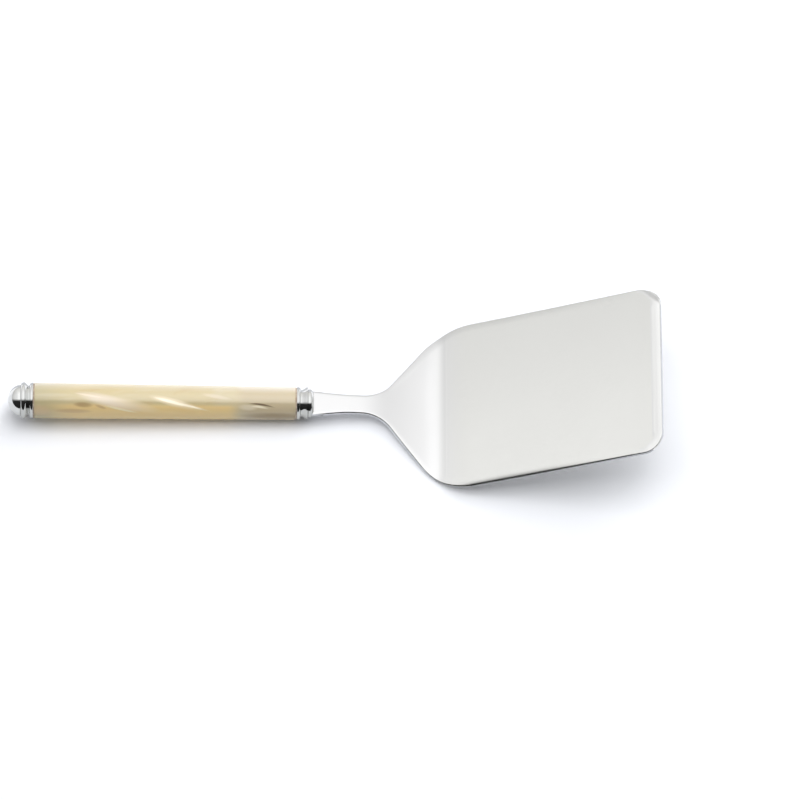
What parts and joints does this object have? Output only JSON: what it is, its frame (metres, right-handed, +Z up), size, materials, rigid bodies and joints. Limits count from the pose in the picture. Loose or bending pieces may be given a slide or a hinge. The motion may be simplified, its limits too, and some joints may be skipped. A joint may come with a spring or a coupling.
{
  "type": "lasagna server",
  "caption": "Lasagna server with a broad, rounded, cranked steel blade and a slim pearlised resin handle held between two turned chrome collars and a domed cap.",
  "frame": {"origin": "middle of the server's overall box, on the table that it lies on", "axes": "+X along the handle towards the blade's front edge, +Y across the blade, +Z up from the table"},
  "size_m": [0.2888, 0.0812, 0.0423],
  "materials": {
    "blade_steel": "satin polished stainless steel sheet",
    "rod_steel": "plain turned steel, out of sight",
    "chrome": "mirror polished plated metal",
    "pearl_resin": "pearlised ivory resin, polished",
    "seal_rubber": "thin reddish brown ring"
  },
  "bodies": {
    "root": {"blade": "blade_steel", "tang_pin": "rod_steel", "tie_rod": "rod_steel", "front_ferrule": "chrome", "front_seal": "seal_rubber", "handle_sleeve": "pearl_resin", "rear_seal": "seal_rubber", "rear_collar": "chrome", "lock_washer": "rod_steel", "finial": "chrome"}
  },
  "joints": []
}
